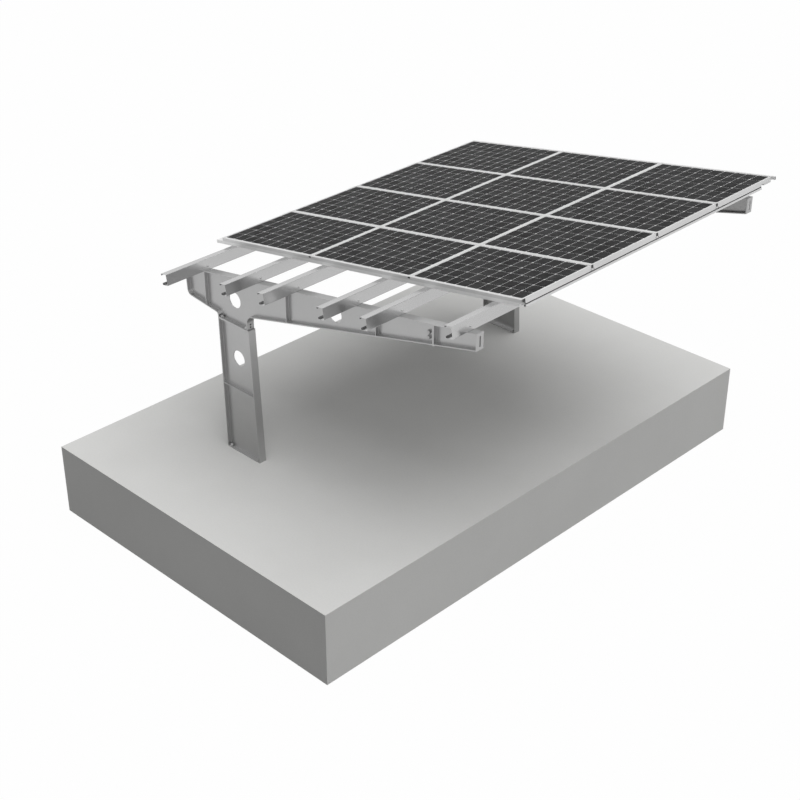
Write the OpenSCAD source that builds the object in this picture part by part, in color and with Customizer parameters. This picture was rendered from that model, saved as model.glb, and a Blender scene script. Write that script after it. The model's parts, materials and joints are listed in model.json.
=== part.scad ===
// Solar carport: two cantilever steel frames on a concrete foundation block, six
// lipped purlins, five aluminium rails and twelve framed photovoltaic modules.
// X runs along the rafters towards the high edge, Y along the purlins, Z up.
// The origin is the centre of the block's underside.

/* [Foundation] */
// Length of the concrete block along the rafters
slab_l = 5020; // [4600:10:6000]
// Width of the concrete block along the purlins
slab_w = 7830; // [7400:10:9000]
// Height of the concrete block
slab_h = 1000; // [500:10:1200]

/* [Steel sections] */
// Width of the flanges of columns and rafters
flange_w = 110; // [100:1:160]
// Thickness of the flanges
flange_t = 12; // [8:1:16]
// Thickness of the webs
web_t = 10; // [8:1:12]
// Thickness of the stiffener plates
stiffener_t = 10; // [6:1:14]
// Distance by which the stiffeners stay short of the flange edges
stiffener_setback = 4; // [0:1:10]
// Diameter of the round openings in the webs
web_hole_d = 210; // [120:5:220]

/* [Frames] */
// Distance from the block's near edge to the web of the near frame
near_frame_y = 1595; // [1200:5:1800]
// Distance between the webs of the two frames
frame_gap = 4950; // [4750:10:5000]
// Distance from the block's rear edge to the rear of the column's foot
foot_x = 1530; // [1200:5:1800]

/* [Column] */
// Depth of the column at its foot
foot_depth = 620; // [560:5:700]
// Depth of the column at its head
head_depth = 576; // [540:2:620]
// How far the rear flange leans back over the column's height
rear_lean = 33; // [0:1:60]
// Height of the bolted joint above the block
joint_z = 1870; // [1800:5:1920]
// Height of the column's stiffener above the block
column_stiffener_z = 945; // [600:5:1150]
// Height of the opening in the column's web above the block
column_hole_z = 1380; // [1300:5:1500]
// Thickness of the base plate
base_plate_t = 15; // [12:1:25]
// Thickness of each plate in the bolted joint
joint_plate_t = 12; // [12:1:20]

/* [Rafter] */
// Slope of the roof in degrees
tilt = 10; // [9:0.5:11]
// Height of the rafter's top above the block, over the rear of the foot
rafter_z = 2475; // [2440:5:2560]
// Reach of the rafter behind the rear of the foot
rear_reach = 615; // [560:5:680]
// Slope distance of the rafter's front end behind the canopy's high end
front_setback = 167; // [80:1:200]
// Height of the rafter at its rear end
rear_end_h = 372; // [330:2:390]
// How far the rafter's top reaches back beyond its rear end's foot
rear_end_lean = 24; // [0:2:40]
// Height of the rafter at its front end
front_end_h = 202; // [190:2:220]
// Distance by which the rafter's neck stays behind the front of the joint plates
neck_setback = 20; // [0:1:30]
// Height above the joint at which the rear soffit meets the column's line
rear_soffit_rise = 62; // [56:1:80]
// Height above the joint at which the front soffit meets the column's line
front_soffit_rise = 196; // [170:2:220]
// Bend radius of the flange at the rear end
rear_end_r = 75; // [40:5:110]
// Bend radius between the joint and the rear soffit
rear_soffit_r = 40; // [20:5:50]
// Bend radius between the joint and the front soffit
front_soffit_r = 110; // [60:5:130]
// Distance of the rear stiffener behind the rear of the foot
rear_stiffener_x = 260; // [200:2:380]
// Distance of the middle stiffener in front of the rear of the foot
middle_stiffener_x = 1250; // [900:5:1500]
// Distance of the front stiffener in front of the rear of the foot
front_stiffener_x = 2755; // [2300:5:3000]
// Height of the round opening in the rafter's head above the joint
head_hole_rise = 318; // [270:2:330]
// Distance of the round opening in the rafter's arm from the rear of the foot
arm_hole_x = 2055; // [1800:5:2100]
// Reach of the bolted tip in front of its joint
tip_l = 622; // [560:2:760]
// Length of the tip's tongue behind the tip joint
tongue_l = 170; // [150:5:220]
// Thickness of the end plates in the tip joint
end_plate_t = 12; // [8:1:16]
// How far the end plates of the tip joint reach below the bottom flange
end_plate_lip = 10; // [6:1:16]
// Distance between the two bolts of the tip joint
tip_bolt_gap = 64; // [62:1:76]
// Distance of the bolts of the tip joint from the joint
tip_bolt_back = 96; // [80:2:110]
// Distance of the middle of the tip joint's bolts below the rafter's middle
tip_bolt_drop = 26; // [0:1:30]
// Width of the slot in the tip's end plate
tip_slot_w = 24; // [12:1:40]
// Height of the slot in the tip's end plate
tip_slot_h = 126; // [80:2:140]
// Diameter of the two earthing holes in the front of the rafter's neck
earth_hole_d = 14; // [8:1:18]
// Height of the lower earthing hole above the joint
earth_hole_rise = 44; // [32:1:52]
// Distance between the two earthing holes
earth_hole_gap = 36; // [24:1:40]
// Depth of the earthing holes
earth_hole_depth = 32; // [20:1:40]

/* [Fasteners] */
// Diameter of the anchor rods and the joint bolts
bolt_d = 20; // [16:1:22]
// Width across flats of the large nuts
nut_w = 30; // [26:1:32]
// Height of the large nuts and bolt heads
nut_h = 16; // [12:1:18]
// Thread that shows above a large nut
bolt_end = 8; // [4:1:10]
// Diameter of the bolts of the tip joint
tip_bolt_d = 27; // [20:1:30]
// Width across flats of the tip joint's nuts
tip_nut_w = 41; // [36:1:46]
// Height of the tip joint's nuts and bolt heads
tip_nut_h = 20; // [16:1:23]
// Diameter of the tip joint's washers
washer_d = 54; // [50:1:60]
// Thickness of the tip joint's washers
washer_t = 4; // [3:0.5:5]
// Distance of the inner bolts and anchor rods from the flange beside them
bolt_edge = 38; // [34:1:50]
// Depth to which the anchor rods reach into the block
anchor_depth = 300; // [200:10:400]
// Diameter of the small bolts
small_bolt_d = 12; // [8:1:14]
// Width across flats of the small nuts
small_nut_w = 19; // [17:1:22]
// Height of the small nuts and bolt heads
small_nut_h = 9; // [6:1:10]
// Play between a bolt and its hole, on the radius
bolt_play = 0.5; // [0.3:0.1:0.9]
// Play between a bolt and its nut, on the radius
thread_play = 0.2; // [0.1:0.1:0.3]

/* [Purlins] */
// Height of the purlin section
purlin_h = 146; // [140:2:170]
// Width of the purlin flanges
purlin_w = 100; // [90:2:120]
// Depth of the purlin lips
purlin_lip = 24; // [16:1:40]
// Sheet thickness of the purlins
purlin_t = 3; // [2.5:0.5:4]
// Outer bend radius of the purlins
purlin_bend = 6; // [5:0.5:8]
// Slope distance of the first purlin's web behind the rear of the foot
first_purlin = 233; // [180:1:260]
// Slope distance between the two purlins of a pair
purlin_pair_gap = 1015; // [960:5:1040]
// Slope distance of the last purlin's web behind the rafter's front end
last_purlin_back = 131; // [110:1:160]
// Overhang of the first purlin beyond the near frame's web
first_purlin_reach = 635; // [420:5:800]
// Overhang of the middle purlins beyond the near frame's web
purlin_near_reach = 535; // [420:5:700]
// Overhang of the last purlin beyond the near frame's web
last_purlin_reach = 280; // [240:5:700]
// Overhang of the purlins beyond the far frame's web
purlin_far_reach = 330; // [260:5:380]

/* [Purlin cleats] */
// Thickness of a cleat
cleat_t = 6; // [5:0.5:8]
// Height of a cleat's upright leg
cleat_h = 86; // [76:1:100]
// Width of a cleat along the purlin
cleat_w = 100; // [92:1:110]
// Length of a cleat's foot along the rafter
cleat_foot = 82; // [78:1:90]
// Distance of the foot bolts from the purlin's web
foot_bolt_x = 58; // [54:1:64]
// Distance between the two foot bolts of a cleat
foot_bolt_gap = 60; // [54:1:66]
// Height of the web bolt above the rafter
web_bolt_z = 50; // [44:1:60]

/* [Rails] */
// Width of the rails
rail_w = 150; // [130:2:170]
// Height of the rails
rail_h = 40; // [38:1:60]
// Wall thickness of the rails
rail_t = 4; // [3:0.5:6]
// Overhang of the rails beyond the modules at the low edge
rail_reach = 120; // [60:5:150]
// Thickness of the caps on the rails' ends
cap_t = 4; // [2:0.5:6]

/* [Modules] */
// Length of a module up the slope
module_l = 1650; // [1620:5:1660]
// Width of a module along the purlins
module_w = 1151; // [1120:1:1170]
// Height of a module's frame
module_h = 40; // [35:1:50]
// Gap between module columns
column_gap = 20; // [14:1:30]
// Gap between module rows
row_gap = 22; // [16:1:30]
// Thickness of the frame's wall
frame_wall = 12; // [9:1:16]
// Width of the frame's bottom flange
frame_foot = 32; // [24:1:40]
// Thickness of the frame's bottom flange
frame_foot_t = 3; // [2:0.5:4]
// Thickness of the glass laminate
laminate_t = 6; // [4:0.5:8]
// Depth to which the laminate reaches into the frame
laminate_bite = 6; // [4:0.5:7]
// Depth of the laminate's face below the frame's top
laminate_drop = 1.5; // [1:0.5:3]
// Play between the laminate and its groove
laminate_play = 0.3; // [0.2:0.1:0.5]
// Slope distance of the modules' low edge behind the rear of the foot
canopy_back = 500; // [460:2:540]
// Distance from the near frame's web to the near edge of the modules
canopy_near = 505; // [460:5:600]

/* [Junction boxes] */
// Length of a junction box
box_l = 140; // [100:5:180]
// Width of a junction box
box_w = 90; // [60:5:120]
// Height of a junction box
box_h = 22; // [16:1:26]
// Distance of a junction box from the high end of its module
box_back = 180; // [120:5:300]

/* [Trim] */
// Width of the edge profiles beside the outer modules
edge_w = 20; // [16:1:26]
// Overhang of the far edge profile beyond the modules at the high edge
far_edge_reach = 45; // [10:5:80]
// Wall thickness of the edge profiles, strips and fascia
trim_t = 2.5; // [2:0.5:3]
// Width of the strip that covers a joint between rows
row_strip_w = 46; // [38:1:50]
// Width of the strip that covers a joint between columns
column_strip_w = 36; // [32:1:40]
// Depth of the stem under a column strip
column_stem_h = 15; // [8:1:24]
// Play between a strip's stem and the modules
strip_play = 0.4; // [0.3:0.1:0.8]
// Height of the fascia at the high edge
fascia_h = 62; // [60:1:72]
// Depth of the fascia at the high edge
fascia_d = 30; // [24:1:36]
// Height of the fascia's lower band
fascia_band = 26; // [20:1:28]
// Height of the groove between the fascia's bands
groove_h = 14; // [10:1:16]
// Depth of the groove between the fascia's bands
groove_d = 12; // [8:1:16]
// Distance by which the fascia stays short of the modules' near edge
fascia_start = 46; // [20:2:80]
// Distance by which the fascia stays short of the far rail
fascia_stop = 95; // [0:5:400]
// Diameter of the trim screws' heads
screw_head_d = 10; // [8:0.5:11.5]
// Height of the trim screws' heads
screw_head_h = 4; // [3:0.5:6]
// Diameter of the trim screws' shanks
screw_d = 5; // [4:0.5:6]
// Length of the trim screws' shanks
screw_l = 44; // [38:1:52]
// Diameter of the round screw port in a rail
port_d = 12; // [10:0.5:14]
// Thickness of the rib that carries a screw port
port_rib = 4; // [3:0.5:5]
// Distance of the screw ports from the rail's centre
port_gap = 24; // [20:1:50]

/* [Hidden] */

columns = 3;
rows = 4;
purlins = 6;
rails = rows + 1;
arc_steps = 8;
bend_steps = 4;
hole_fn = 64;
bolt_fn = 24;
cut = 1; // how far a cutting shape passes the face that it cuts

near_y = near_frame_y - slab_w / 2;
far_y = near_y + frame_gap;
foot_z = slab_h;
start_x = foot_x - slab_l / 2;
head_rear = -rear_lean;
head_front = head_rear + head_depth;
neck_front = head_front - neck_setback;

steel = [0.66, 0.66, 0.65];
zinc = [0.45, 0.45, 0.44];
anodised = [0.82, 0.82, 0.81];
cells = [0.25, 0.25, 0.25];
concrete = [0.76, 0.76, 0.75];
black_plastic = [0.12, 0.12, 0.12];

// The roof's size sets the rafter's reach and the purlins' places
canopy_l = columns * module_l + (columns - 1) * column_gap;
canopy_end = canopy_l - canopy_back;
front_u = canopy_end - front_setback;
front_reach = front_u * cos(tilt);
tip_joint_x = front_reach - tip_l;
last_purlin = front_u - last_purlin_back;
purlin_pair_pitch = (last_purlin + first_purlin - purlin_pair_gap) / (purlins / 2 - 1);

// Heights of the rafter's top and of its front soffit above the block
function top_z(x) = rafter_z + x * tan(tilt);
soffit_start = joint_z + front_soffit_rise;
soffit_end = top_z(front_reach) - front_end_h;
function soffit_z(x) =
    soffit_start + (soffit_end - soffit_start) * (x - neck_front) / (front_reach - neck_front);

// An outline drawn round its corners: a radius above zero becomes an arc
function unit(v) = v / norm(v);
function left(v) = [-v[1], v[0]];
function turn(a, b, c) = (b[0] - a[0]) * (c[1] - b[1]) - (b[1] - a[1]) * (c[0] - b[0]);
function arc(a, b, c, r, steps) =
    let (u = unit(a - b), v = unit(c - b), half = acos(u * v) / 2,
         centre = b + unit(u + v) * r / sin(half),
         p = b + u * r / tan(half) - centre, q = b + v * r / tan(half) - centre,
         from = atan2(p[1], p[0]), sweep = (atan2(q[1], q[0]) - from + 540) % 360 - 180)
    [for (k = [0 : steps]) centre + r * [cos(from + sweep * k / steps), sin(from + sweep * k / steps)]];
function rounded(pts, radii, steps) =
    let (n = len(pts))
    [for (i = [0 : n - 1])
        each (radii[i] > 0
            ? arc(pts[(i + n - 1) % n], pts[i], pts[(i + 1) % n], radii[i], steps)
            : [pts[i]])];

// The same outline moved inwards by a plate's thickness, with its bends kept parallel
function inset(pts, d) =
    let (n = len(pts))
    [for (i = [0 : n - 1])
        let (u = unit(pts[i] - pts[(i + n - 1) % n]), v = unit(pts[(i + 1) % n] - pts[i]))
        pts[i] + d * (left(u) + left(v)) / (1 + u * v)];
function inset_radii(pts, radii, d) =
    let (n = len(pts))
    [for (i = [0 : n - 1])
        radii[i] == 0
            ? 0
            : radii[i] - d * sign(turn(pts[(i + n - 1) % n], pts[i], pts[(i + 1) % n]))];

column_outline = [[0, 0], [foot_depth, 0], [head_front, joint_z], [head_rear, joint_z]];
column_radii = [0, 0, 0, 0];
rafter_outline = [
    [-rear_reach - rear_end_lean, top_z(-rear_reach - rear_end_lean)],
    [-rear_reach, top_z(-rear_reach) - rear_end_h],
    [head_rear, joint_z + rear_soffit_rise],
    [head_rear, joint_z],
    [neck_front, joint_z],
    [neck_front, soffit_start],
    [front_reach, soffit_end],
    [front_reach, top_z(front_reach)]];
rafter_radii = [0, rear_end_r, rear_soffit_r, 0, 0, front_soffit_r, 0, 0];
tip_outline = [
    [tip_joint_x, soffit_z(tip_joint_x)],
    [front_reach, soffit_end],
    [front_reach, top_z(front_reach)],
    [tip_joint_x, top_z(tip_joint_x)]];
tip_radii = [0, 0, 0, 0];
tip_middle =
    (soffit_z(tip_joint_x) + top_z(tip_joint_x)) / 2 - tip_bolt_back * tan(tilt) - tip_bolt_drop;
tongue_h = tip_bolt_gap + washer_d;
end_plate_foot = soffit_z(tip_joint_x) - end_plate_lip;

// Places of the bolts in plan, from the rear of the foot and from the web
bolt_row = (flange_w + web_t) / 4;
anchor_spots = [for (x = [flange_t + bolt_edge, foot_depth - flange_t - bolt_edge],
    y = [-bolt_row, bolt_row]) [x, y]];
joint_spots = [for (x = [head_rear + flange_t + bolt_edge, neck_front - flange_t - bolt_edge],
    y = [-bolt_row, bolt_row]) [x, y]];
tip_bolt_zs = [tip_middle - tip_bolt_gap / 2, tip_middle + tip_bolt_gap / 2];

// Roof: slope distances are measured from above the rear of the foot, Y from the near web
canopy_w = rows * module_w + (rows - 1) * row_gap;
rail_z = purlin_h;
module_z = rail_z + rail_h;
laminate_z = module_z + module_h - laminate_drop - laminate_t;
groove_z = module_z - fascia_h + fascia_band;
upper_band = fascia_h - fascia_band - groove_h;
port_z = module_z - upper_band / 2 - rail_z;
function purlin_u(i) =
    floor(i / 2) * purlin_pair_pitch + (i % 2) * purlin_pair_gap - first_purlin;
function module_u(c) = c * (module_l + column_gap) - canopy_back;
function module_v(r) = canopy_near + r * (module_w + row_gap);
function rail_v(k) =
    k == 0 ? canopy_near - edge_w + rail_w / 2
        : k == rows ? canopy_near + canopy_w + edge_w - rail_w / 2
        : module_v(k) - row_gap / 2;
rail_low = -canopy_back - rail_reach;
function rail_end(k) =
    k == 0 || k == rows ? canopy_end - fascia_d - cap_t : canopy_end - fascia_d;
function purlin_reach(i) =
    i == 0 ? first_purlin_reach : i == purlins - 1 ? last_purlin_reach : purlin_near_reach;
rail_bolt_u = purlin_w / 2;

module at_frame(y) translate([start_x, y, foot_z]) children();
module at_frames() for (y = [near_y, far_y]) at_frame(y) children();
module on_roof() translate([start_x, near_y, foot_z + rafter_z]) rotate([0, -tilt, 0]) children();

// A plate that stands along the rafter, centred on a web, drawn in X and Z
module upright(t) translate([0, t / 2, 0]) rotate([90, 0, 0]) linear_extrude(t) children();
module outline(pts, radii, d) {
    polygon(rounded(inset(pts, d), inset_radii(pts, radii, d), arc_steps));
}
// Flanges and end plates round the outline, and the web between them
module welded(pts, radii) {
    upright(flange_w) difference() {
        outline(pts, radii, 0);
        outline(pts, radii, flange_t);
    }
    upright(web_t) outline(pts, radii, flange_t / 2);
}
module stiffener(pts, radii, place, angle) {
    upright(flange_w - 2 * stiffener_setback) intersection() {
        outline(pts, radii, flange_t / 2);
        translate(place) rotate(angle) square([stiffener_t, slab_h], center = true);
    }
}
module web_hole(x, z) {
    translate([x, web_t / 2 + cut, z])
        rotate([90, 0, 0])
            cylinder(h = web_t + 2 * cut, d = web_hole_d, $fn = hole_fn);
}
module joint_holes(z, t) {
    for (p = joint_spots)
        translate([p[0], p[1], z - cut])
            cylinder(h = t + 2 * cut, r = bolt_d / 2 + bolt_play, $fn = bolt_fn);
}
module hex(w, h, r = 0) {
    difference() {
        cylinder(h = h, d = w / cos(30), $fn = 6);
        if (r > 0) translate([0, 0, -cut]) cylinder(h = h + 2 * cut, r = r, $fn = bolt_fn);
    }
}
// A bolt with its head's underside at zero and its shank pointing up
module bolt(d, length, head_w, head_h) {
    translate([0, 0, -head_h]) hex(head_w, head_h);
    cylinder(h = length, d = d, $fn = bolt_fn);
}
module large_nut() hex(nut_w, nut_h, bolt_d / 2 + thread_play);
module small_nut() hex(small_nut_w, small_nut_h, small_bolt_d / 2 + thread_play);

module foundation_slab() {
    color(concrete) difference() {
        translate([-slab_l / 2, -slab_w / 2, 0]) cube([slab_l, slab_w, slab_h]);
        at_frames()
            for (p = anchor_spots)
                translate([p[0], p[1], -anchor_depth])
                    cylinder(h = anchor_depth + cut, r = bolt_d / 2 + bolt_play, $fn = bolt_fn);
    }
}

module column(y) {
    color(steel) at_frame(y) difference() {
        union() {
            welded(column_outline, column_radii);
            translate([0, -flange_w / 2, 0]) cube([foot_depth, flange_w, base_plate_t]);
            translate([head_rear, -flange_w / 2, joint_z - joint_plate_t])
                cube([head_depth, flange_w, joint_plate_t]);
            stiffener(column_outline, column_radii, [foot_depth / 2, column_stiffener_z], 90);
        }
        web_hole((foot_depth + (head_rear + head_front - foot_depth) * column_hole_z / joint_z) / 2,
            column_hole_z);
        joint_holes(joint_z - max(joint_plate_t, flange_t), max(joint_plate_t, flange_t));
        for (p = anchor_spots)
            translate([p[0], p[1], -cut])
                cylinder(h = max(base_plate_t, flange_t) + 2 * cut, r = bolt_d / 2 + bolt_play,
                    $fn = bolt_fn);
    }
}

module rafter(y) {
    color(steel) at_frame(y) difference() {
        union() {
            welded(rafter_outline, rafter_radii);
            translate([head_rear, -flange_w / 2, joint_z])
                cube([head_depth, flange_w, joint_plate_t]);
            for (x = [-rear_stiffener_x, middle_stiffener_x, front_stiffener_x])
                stiffener(rafter_outline, rafter_radii, [x, top_z(x)], 0);
            end_plate(tip_joint_x - end_plate_t);
        }
        translate([tip_joint_x, -flange_w, joint_z])
            cube([front_reach, 2 * flange_w, front_reach]);
        translate([tip_joint_x - end_plate_t - cut, web_t / 2, tip_middle - tongue_h / 2 - strip_play])
            cube([end_plate_t + 2 * cut, web_t + strip_play, tongue_h + 2 * strip_play]);
        for (rise = [earth_hole_rise, earth_hole_rise + earth_hole_gap])
            translate([neck_front - earth_hole_depth, 0, joint_z + rise])
                rotate([0, 90, 0])
                    cylinder(h = earth_hole_depth + cut, d = earth_hole_d, $fn = bolt_fn);
        web_hole((head_rear + head_front) / 2, joint_z + head_hole_rise);
        web_hole(arm_hole_x, (top_z(arm_hole_x) + soffit_z(arm_hole_x)) / 2);
        joint_holes(joint_z, max(joint_plate_t, flange_t));
        tip_bolt_holes();
        flange_bolt_holes();
    }
}

module tip_bolt_holes() {
    for (z = tip_bolt_zs)
        translate([tip_joint_x - tip_bolt_back, 2 * web_t, z])
            rotate([90, 0, 0])
                cylinder(h = 3 * web_t, r = tip_bolt_d / 2 + bolt_play, $fn = bolt_fn);
}

// Plate across the end of an arm in the tip joint
module end_plate(x) {
    front = x + end_plate_t;
    upright(flange_w)
        polygon([[x, end_plate_foot], [front, end_plate_foot],
            [front, top_z(front) - flange_t / 2], [x, top_z(x) - flange_t / 2]]);
}

// Holes in the rafter's top flange under each purlin
module flange_bolt_holes() {
    translate([0, 0, rafter_z])
        rotate([0, -tilt, 0])
            for (i = [0 : purlins - 1], s = [-1, 1])
                translate([purlin_u(i) - foot_bolt_x, s * foot_bolt_gap / 2, -flange_t - cut])
                    cylinder(h = flange_t + 2 * cut, r = small_bolt_d / 2 + bolt_play, $fn = bolt_fn);
}

module rafter_tip(y) {
    color(steel) at_frame(y) difference() {
        union() {
            welded(tip_outline, tip_radii);
            end_plate(tip_joint_x);
            translate([tip_joint_x - tongue_l, web_t / 2, tip_middle - tongue_h / 2])
                cube([tongue_l + end_plate_t / 2, web_t, tongue_h]);
        }
        translate([front_reach - flange_t, -tip_slot_w / 2,
            (soffit_end + top_z(front_reach) - tip_slot_h) / 2])
            cube([flange_t + cut, tip_slot_w, tip_slot_h]);
        tip_bolt_holes();
        flange_bolt_holes();
    }
}

module anchor_rods() {
    color(zinc) at_frames()
        for (p = anchor_spots)
            translate([p[0], p[1], -anchor_depth])
                cylinder(h = anchor_depth + base_plate_t + nut_h + bolt_end, d = bolt_d,
                    $fn = bolt_fn);
}

module joint_bolts() {
    color(zinc) at_frames()
        for (p = joint_spots)
            translate([p[0], p[1], joint_z - joint_plate_t])
                bolt(bolt_d, 2 * joint_plate_t + nut_h + bolt_end, nut_w, nut_h);
}

module large_nuts() {
    color(zinc) at_frames() {
        for (p = anchor_spots) translate([p[0], p[1], base_plate_t]) large_nut();
        for (p = joint_spots) translate([p[0], p[1], joint_z + joint_plate_t]) large_nut();
    }
}

// The tip joint's bolts point along Y, with a washer on each side of web and tongue
module at_tip_bolts(y) {
    at_frames()
        for (z = tip_bolt_zs)
            translate([tip_joint_x - tip_bolt_back, y, z]) rotate([-90, 0, 0]) children();
}
tip_grip = 2 * web_t + 2 * washer_t;
module tip_bolts() {
    color(zinc) at_tip_bolts(-web_t / 2 - washer_t)
        bolt(tip_bolt_d, tip_grip + tip_nut_h + bolt_end, tip_nut_w, tip_nut_h);
}
module tip_nuts() {
    color(zinc) at_tip_bolts(3 * web_t / 2 + washer_t)
        hex(tip_nut_w, tip_nut_h, tip_bolt_d / 2 + thread_play);
}
module tip_washers() {
    color(zinc) for (y = [-web_t / 2 - washer_t, 3 * web_t / 2])
        at_tip_bolts(y) difference() {
            cylinder(h = washer_t, d = washer_d, $fn = hole_fn);
            translate([0, 0, -cut])
                cylinder(h = washer_t + 2 * cut, r = tip_bolt_d / 2 + bolt_play, $fn = bolt_fn);
        }
}

// Lipped channel, open towards the low edge, bolted down through cleats at both frames
purlin_outline = [
    [-purlin_w, purlin_lip], [-purlin_w, 0], [0, 0], [0, purlin_h],
    [-purlin_w, purlin_h], [-purlin_w, purlin_h - purlin_lip],
    [purlin_t - purlin_w, purlin_h - purlin_lip], [purlin_t - purlin_w, purlin_h - purlin_t],
    [-purlin_t, purlin_h - purlin_t], [-purlin_t, purlin_t],
    [purlin_t - purlin_w, purlin_t], [purlin_t - purlin_w, purlin_lip]];
inner_bend = purlin_bend - purlin_t;
purlin_radii = [0, purlin_bend, purlin_bend, purlin_bend, purlin_bend, 0,
    0, inner_bend, inner_bend, inner_bend, inner_bend, 0];
module purlin(i) {
    color(anodised) on_roof() translate([purlin_u(i), 0, 0]) difference() {
        translate([0, frame_gap + purlin_far_reach, 0])
            rotate([90, 0, 0])
                linear_extrude(frame_gap + purlin_far_reach + purlin_reach(i))
                    polygon(rounded(purlin_outline, purlin_radii, bend_steps));
        for (v = [0, frame_gap]) translate([0, v, 0]) cleat_holes();
        for (k = [0 : rails - 1])
            translate([-rail_bolt_u, rail_v(k), purlin_h - purlin_t - cut])
                cylinder(h = purlin_t + 2 * cut, r = small_bolt_d / 2 + bolt_play, $fn = bolt_fn);
    }
}

module cleat_holes() {
    for (s = [-1, 1])
        translate([-foot_bolt_x, s * foot_bolt_gap / 2, -cut])
            cylinder(h = purlin_t + cleat_t + 2 * cut, r = small_bolt_d / 2 + bolt_play,
                $fn = bolt_fn);
    translate([-purlin_t - cleat_t - cut, 0, web_bolt_z])
        rotate([0, 90, 0])
            cylinder(h = purlin_t + cleat_t + 2 * cut, r = small_bolt_d / 2 + bolt_play,
                $fn = bolt_fn);
}

module at_cleats() {
    on_roof() for (i = [0 : purlins - 1], v = [0, frame_gap]) translate([purlin_u(i), v, 0]) children();
}

// Angle cleats inside the purlins, on their bottom flanges and against their webs
module purlin_cleats() {
    color(zinc) at_cleats() difference() {
        translate([-purlin_t, cleat_w / 2, purlin_t])
            rotate([90, 0, 0])
                linear_extrude(cleat_w)
                    polygon([[-cleat_foot, 0], [-inner_bend, 0], [0, inner_bend], [0, cleat_h],
                        [-cleat_t, cleat_h], [-cleat_t, cleat_t], [-cleat_foot, cleat_t]]);
        cleat_holes();
    }
}

foot_grip = purlin_t + cleat_t + flange_t;
web_grip = purlin_t + cleat_t;
module cleat_bolts() {
    color(zinc) at_cleats() {
        for (s = [-1, 1])
            translate([-foot_bolt_x, s * foot_bolt_gap / 2, purlin_t + cleat_t])
                rotate([180, 0, 0])
                    bolt(small_bolt_d, foot_grip + small_nut_h + bolt_end / 2, small_nut_w,
                        small_nut_h);
        translate([0, 0, web_bolt_z])
            rotate([0, -90, 0])
                bolt(small_bolt_d, web_grip + small_nut_h + bolt_end / 2, small_nut_w, small_nut_h);
    }
}

// Hollow rail with two screw ports, bolted down to every purlin on its centreline
rail_grip = purlin_t + rail_t;
module at_rail_bolts() {
    on_roof() for (i = [0 : purlins - 1], k = [0 : rails - 1])
        translate([purlin_u(i) - rail_bolt_u, rail_v(k), purlin_h - purlin_t]) children();
}

module rail_bolts() {
    color(zinc) at_rail_bolts()
        bolt(small_bolt_d, rail_grip + small_nut_h + bolt_end / 2, small_nut_w, small_nut_h);
}

module small_nuts() {
    color(zinc) {
        at_cleats() {
            for (s = [-1, 1])
                translate([-foot_bolt_x, s * foot_bolt_gap / 2, -flange_t - small_nut_h])
                    small_nut();
            translate([-web_grip, 0, web_bolt_z]) rotate([0, -90, 0]) small_nut();
        }
        at_rail_bolts() translate([0, 0, rail_grip]) small_nut();
    }
}

module rail(k) {
    color(anodised) on_roof() difference() {
        translate([rail_low, rail_v(k), rail_z])
            rotate([90, 0, 90])
                linear_extrude(rail_end(k) - rail_low)
                    rail_section();
        for (i = [0 : purlins - 1])
            translate([purlin_u(i) - rail_bolt_u, rail_v(k), rail_z - cut])
                cylinder(h = rail_t + 2 * cut, r = small_bolt_d / 2 + bolt_play, $fn = bolt_fn);
    }
}

module rail_section() {
    difference() {
        translate([-rail_w / 2, 0]) square([rail_w, rail_h]);
        translate([rail_t - rail_w / 2, rail_t]) square([rail_w - 2 * rail_t, rail_h - 2 * rail_t]);
    }
    for (s = [-1, 1]) translate([s * port_gap, 0]) {
        translate([-port_rib / 2, rail_t / 2]) square([port_rib, port_z - rail_t / 2 - screw_d]);
        translate([0, port_z]) difference() {
            circle(d = port_d, $fn = bolt_fn);
            circle(r = screw_d / 2 + thread_play, $fn = bolt_fn);
        }
    }
}

// Caps on the low ends of all rails and on the high ends of the outer two
module rail_caps() {
    color(anodised) on_roof() {
        for (k = [0 : rails - 1]) rail_cap(rail_low - cap_t, k);
        for (k = [0, rails - 1]) rail_cap(rail_end(k), k);
    }
}
module rail_cap(u, k) {
    translate([u, rail_v(k) - rail_w / 2, rail_z]) cube([cap_t, rail_w, rail_h]);
}

// Hollow profile that lies along the modules' outer edge on a rail
module edge_profile(v, length) {
    color(anodised) on_roof() difference() {
        translate([-canopy_back, v, module_z]) cube([length, edge_w, module_h]);
        translate([-canopy_back - cut, v + trim_t, module_z + trim_t])
            cube([length + 2 * cut, edge_w - 2 * trim_t, module_h - 2 * trim_t]);
        edge_screw_holes();
    }
}

// Screws at both ends of every column joint hold the edge profiles to the column strips
module at_edge_screws() {
    for (c = [1 : columns - 1])
        translate([module_u(c) - column_gap / 2, 0, module_z + module_h - column_stem_h / 2]) {
            translate([0, canopy_near - edge_w, 0]) rotate([90, 0, 0]) children();
            translate([0, canopy_near + canopy_w + edge_w, 0]) rotate([-90, 0, 0]) children();
        }
}
module edge_screw_holes() {
    at_edge_screws()
        translate([0, 0, -screw_l - cut])
            cylinder(h = screw_l + 2 * cut, r = screw_d / 2 + thread_play, $fn = bolt_fn);
}

// Cover strip on the joint between two rows, with a hollow stem down to the rail
stem_w = row_gap - 2 * strip_play;
module row_strips() {
    color(anodised) on_roof() for (r = [1 : rows - 1]) translate([-canopy_back, rail_v(r), 0]) {
        translate([0, -row_strip_w / 2, module_z + module_h])
            cube([canopy_l, row_strip_w, trim_t]);
        difference() {
            translate([0, -stem_w / 2, module_z]) cube([canopy_l, stem_w, module_h]);
            translate([-cut, trim_t - stem_w / 2, module_z + trim_t])
                cube([canopy_l + 2 * cut, stem_w - 2 * trim_t, module_h - trim_t]);
        }
    }
}

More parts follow.
